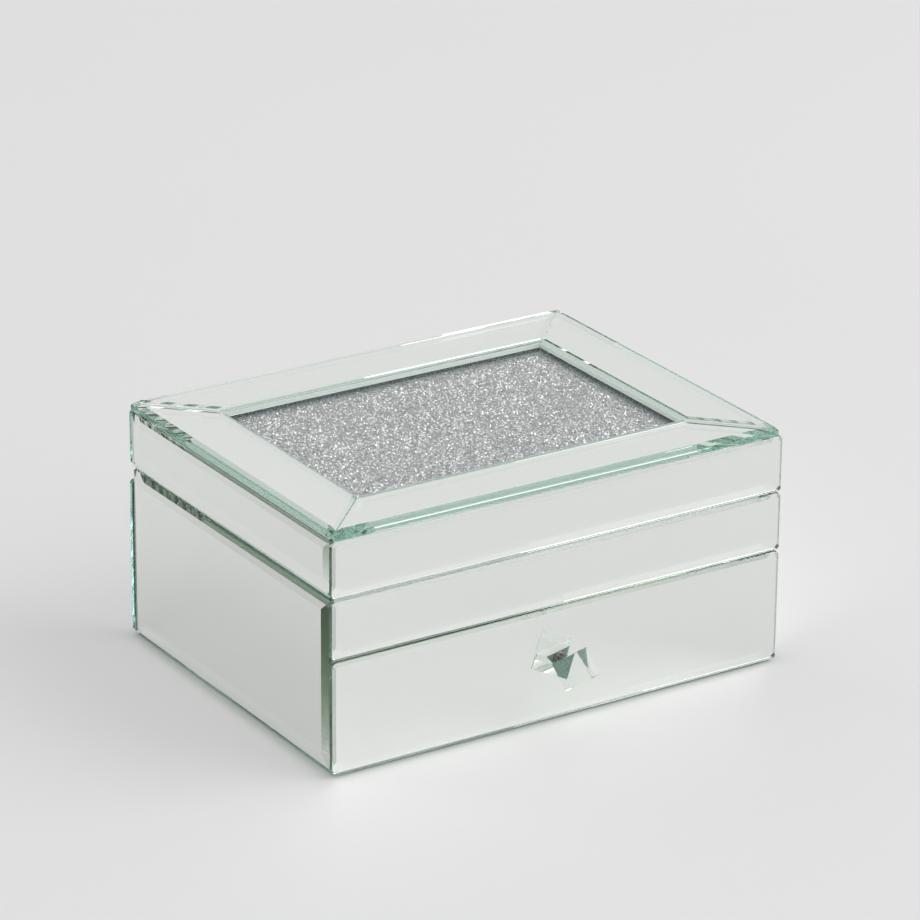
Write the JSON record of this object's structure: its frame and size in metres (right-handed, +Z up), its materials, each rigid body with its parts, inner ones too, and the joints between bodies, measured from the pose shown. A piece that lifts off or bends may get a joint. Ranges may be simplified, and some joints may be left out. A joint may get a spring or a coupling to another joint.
{
  "type": "vanity trinket box",
  "caption": "Mirror-clad vanity trinket box with bevelled glass panels, a hinged lid with a crushed-crystal panel, a lined tray and a drawer with a clear cube knob.",
  "frame": {"origin": "centre of the underside, on the plane that the box stands on", "axes": "+X runs to the right along the front, -Y faces the user (drawer side), +Z is up"},
  "size_m": [0.26, 0.2227, 0.1271],
  "materials": {
    "mirror_glass": "silvered clear glass, polished, bevelled, pale green edges",
    "clear_glass": "polished float glass",
    "crystal_glass": "polished clear crystal",
    "clear_bumper": "clear soft dots",
    "crushed_crystal": "crushed silvered crystal, sparkling",
    "roll_velvet": "grey velvet over foam",
    "lining_velvet": "grey velvet",
    "hinge_metal": "nickel-plated steel",
    "knob_metal": "polished chrome",
    "base_felt": "black felt",
    "board": "fibreboard, painted dark grey"
  },
  "bodies": {
    "body": {"felt_base": "base_felt", "bottom_board": "board", "side_board_left": "board", "side_board_right": "board", "back_board": "board", "front_rail": "board", "tray_shelf": "board", "body_mirror_left": "mirror_glass", "body_mirror_right": "mirror_glass", "body_mirror_back": "mirror_glass", "rail_mirror": "mirror_glass", "tray_floor_lining": "lining_velvet", "tray_wall_lining": "lining_velvet", "tray_divider_long": "lining_velvet", "tray_divider_cross": "lining_velvet", "ring_roll_1": "roll_velvet", "ring_roll_2": "roll_velvet", "ring_roll_3": "roll_velvet", "ring_roll_4": "roll_velvet", "ring_roll_5": "roll_velvet", "ring_roll_6": "roll_velvet", "rim_bumpers": "clear_bumper", "hinge_leaf_body_left": "hinge_metal", "hinge_leaf_body_right": "hinge_metal", "hinge_pin_left": "hinge_metal", "hinge_pin_right": "hinge_metal", "hinge_screws_body": "hinge_metal"},
    "drawer": {"drawer_front_board": "board", "drawer_side_left": "board", "drawer_side_right": "board", "drawer_back": "board", "drawer_bottom": "board", "drawer_floor_lining": "lining_velvet", "drawer_wall_lining": "lining_velvet", "drawer_mirror": "mirror_glass", "knob_base": "knob_metal", "knob_crystal": "crystal_glass", "knob_screw": "knob_metal"},
    "lid": {"lid_front_board": "board", "lid_back_board": "board", "lid_side_left": "board", "lid_side_right": "board", "lid_top_board": "board", "lid_mirror_front": "mirror_glass", "lid_mirror_back": "mirror_glass", "lid_mirror_left": "mirror_glass", "lid_mirror_right": "mirror_glass", "top_mirror_front": "mirror_glass", "top_mirror_back": "mirror_glass", "top_mirror_left": "mirror_glass", "top_mirror_right": "mirror_glass", "crystal_bed": "crushed_crystal", "cover_glass": "clear_glass", "lid_top_lining": "lining_velvet", "lid_wall_lining": "lining_velvet", "hinge_leaf_lid_left": "hinge_metal", "hinge_leaf_lid_right": "hinge_metal", "hinge_screws_lid": "hinge_metal"}
  },
  "joints": [
    {"name": "lid_hinge", "type": "hinge", "parent": "body", "child": "lid", "pos_m": [0, 0.0979, 0.0899], "axis": [-1, 0, 0], "range_deg": [0, 100]},
    {"name": "drawer_slide", "type": "slide", "parent": "body", "child": "drawer", "axis": [0, -1, 0], "range_m": [0, 0.12]}
  ]
}
